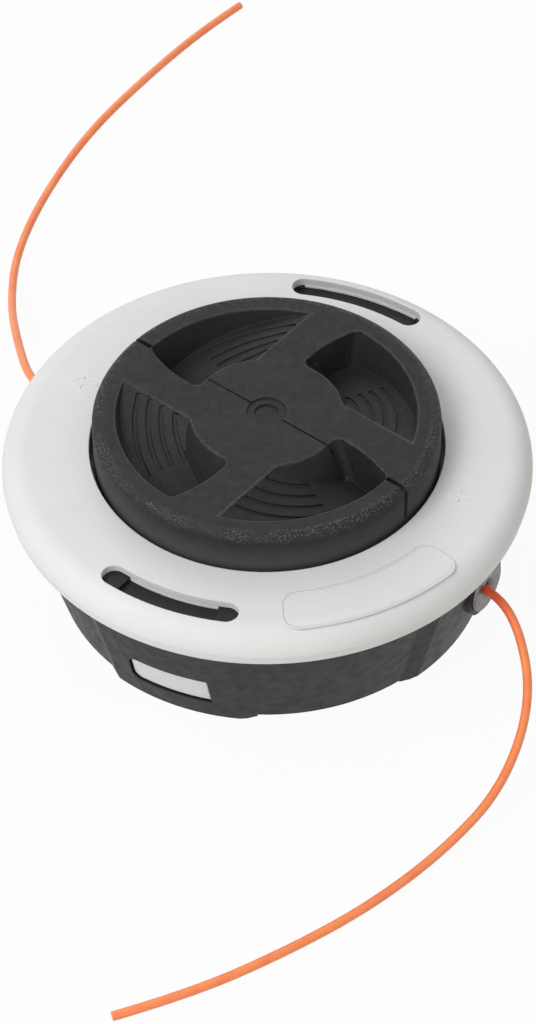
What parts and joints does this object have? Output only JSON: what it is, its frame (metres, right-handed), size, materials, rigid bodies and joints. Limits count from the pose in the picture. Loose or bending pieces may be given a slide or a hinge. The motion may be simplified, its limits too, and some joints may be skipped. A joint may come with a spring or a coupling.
{
  "type": "bump feed trimmer head",
  "caption": "Round bump feed head for a line trimmer: tapered housing, pale cover plate, spring-loaded spool and a ribbed grip knob, with two short ends of nylon line.",
  "frame": {"origin": "on the head's axis, at the seating face that meets the trimmer's gearbox, which is also the face it stands on", "axes": "+Z along the axis, from the seating face up through the bump knob; +X to the right in the pictured view"},
  "size_m": [0.1455, 0.3971, 0.055],
  "materials": {
    "housing_plastic": "moulded nylon, fine satin grain",
    "cover_plastic": "moulded nylon, pale warm grey, soft sheen",
    "knob_plastic": "coarse textured wear plastic",
    "spool_plastic": "moulded nylon",
    "eyelet_steel": "turned steel, dull",
    "nut_steel": "zinc-plated steel",
    "spring_steel": "drawn spring wire",
    "washer_steel": "stamped steel",
    "bush_brass": "sintered bush",
    "line_nylon": "extruded nylon line, orange"
  },
  "bodies": {
    "head": {"housing": "housing_plastic", "arbor_nut": "nut_steel", "cover": "cover_plastic", "line_eyelet_right": "eyelet_steel", "line_eyelet_left": "eyelet_steel", "seat_washer": "washer_steel", "bump_spring": "spring_steel", "line_end_right": "line_nylon", "line_end_left": "line_nylon"},
    "slider": {"thrust_washer": "washer_steel"},
    "feed_spool": {"spool": "spool_plastic", "spool_bush": "bush_brass", "bump_knob": "knob_plastic", "line_winding_lower": "line_nylon", "line_winding_upper": "line_nylon"}
  },
  "joints": [
    {"name": "bump_press", "type": "slide", "parent": "head", "child": "slider", "axis": [0, 0, 1], "range_m": [-0.006, 0], "stiffness_N_per_m": 1500, "springref_m": 0.01, "deforming": ["bump_spring"]},
    {"name": "spool_turn", "type": "hinge", "parent": "slider", "child": "feed_spool", "pos_m": [0, 0, 0.0275], "axis": [0, 0, 1], "range_deg": [-36, 0]}
  ]
}
